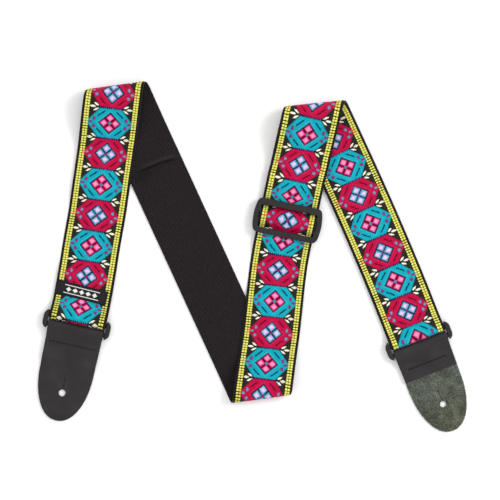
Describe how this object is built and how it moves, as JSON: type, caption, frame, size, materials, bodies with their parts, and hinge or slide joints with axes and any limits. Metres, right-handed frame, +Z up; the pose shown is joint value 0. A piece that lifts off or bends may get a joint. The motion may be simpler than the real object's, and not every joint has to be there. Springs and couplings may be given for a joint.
{
  "type": "guitar strap",
  "caption": "Adjustable guitar strap lying in a zig-zag: webbing with jacquard ribbon, plastic slider, rings and leather button-hole ends.",
  "frame": {"origin": "centre of the bounding box on the ground plane", "axes": "+X across the zig-zag from the left end to the right end, +Y from the leather tips towards the two upper folds, +Z up from the surface it lies on"},
  "size_m": [0.3734, 0.3046, 0.0214],
  "materials": {
    "webbing": "black nylon webbing, fine twill",
    "ribbon": "woven jacquard ribbon, crimson and teal medallions with yellow block borders",
    "label": "black woven label with a plain row of pale diamonds",
    "thread": "black polyester thread",
    "plastic": "black moulded plastic, satin",
    "leather": "black leather, smooth grain outside and grey-green suede inside"
  },
  "bodies": {
    "root": {"webbing_left_loop": "webbing", "webbing_leg_1": "webbing", "webbing_fold_1": "webbing", "webbing_leg_2": "webbing", "webbing_fold_2": "webbing", "webbing_leg_3_lower": "webbing", "webbing_leg_3_upper": "webbing", "webbing_fold_3": "webbing", "webbing_leg_4": "webbing", "webbing_right_loop": "webbing", "webbing_return_leg_4": "webbing", "webbing_return_fold_3": "webbing", "webbing_return_leg_3": "webbing", "ribbon_left_loop": "ribbon", "ribbon_leg_1": "ribbon", "ribbon_fold_1": "ribbon", "ribbon_leg_2": "ribbon", "ribbon_fold_2": "ribbon", "ribbon_leg_3_lower": "ribbon", "ribbon_leg_3_upper": "ribbon", "ribbon_fold_3": "ribbon", "ribbon_leg_4": "ribbon", "ribbon_right_loop": "ribbon", "ribbon_return_leg_4": "ribbon", "ribbon_return_fold_3": "ribbon", "ribbon_return_leg_3": "ribbon", "label_patch": "label", "label_stitches": "thread"},
    "slider": {"webbing_slider_hump": "webbing", "webbing_slider_loop": "webbing", "ribbon_slider_hump": "ribbon", "ribbon_slider_loop": "ribbon", "slider": "plastic", "return_stitches": "thread"},
    "ring_left": {"ring_left": "plastic"},
    "ring_right": {"ring_right": "plastic"},
    "leather_left": {"leather_left": "leather", "leather_stitches_left": "thread"},
    "leather_right": {"leather_right": "leather", "leather_stitches_right": "thread"}
  },
  "joints": [
    {"name": "slider_slide", "type": "slide", "parent": "root", "child": "slider", "axis": [0.2045, 0.9789, 0], "range_m": [-0.03, 0.005], "deforming": ["webbing_leg_3_lower", "ribbon_leg_3_lower", "webbing_leg_3_upper", "ribbon_leg_3_upper", "webbing_return_leg_3", "ribbon_return_leg_3"]},
    {"name": "ring_left_swing", "type": "hinge", "parent": "root", "child": "ring_left", "pos_m": [-0.15176, -0.05466, 0.00435], "axis": [-0.977, 0.213, 0], "range_deg": [0, 90]},
    {"name": "leather_left_swing", "type": "hinge", "parent": "ring_left", "child": "leather_left", "pos_m": [-0.15359, -0.06306, 0.00435], "axis": [-0.977, 0.213, 0], "range_deg": [0, 90]},
    {"name": "ring_right_swing", "type": "hinge", "parent": "root", "child": "ring_right", "pos_m": [0.14317, -0.06905, 0.00435], "axis": [-0.9323, -0.3616, 0], "range_deg": [0, 90]},
    {"name": "leather_right_swing", "type": "hinge", "parent": "ring_right", "child": "leather_right", "pos_m": [0.14628, -0.07707, 0.00435], "axis": [-0.9323, -0.3616, 0], "range_deg": [0, 90]}
  ]
}
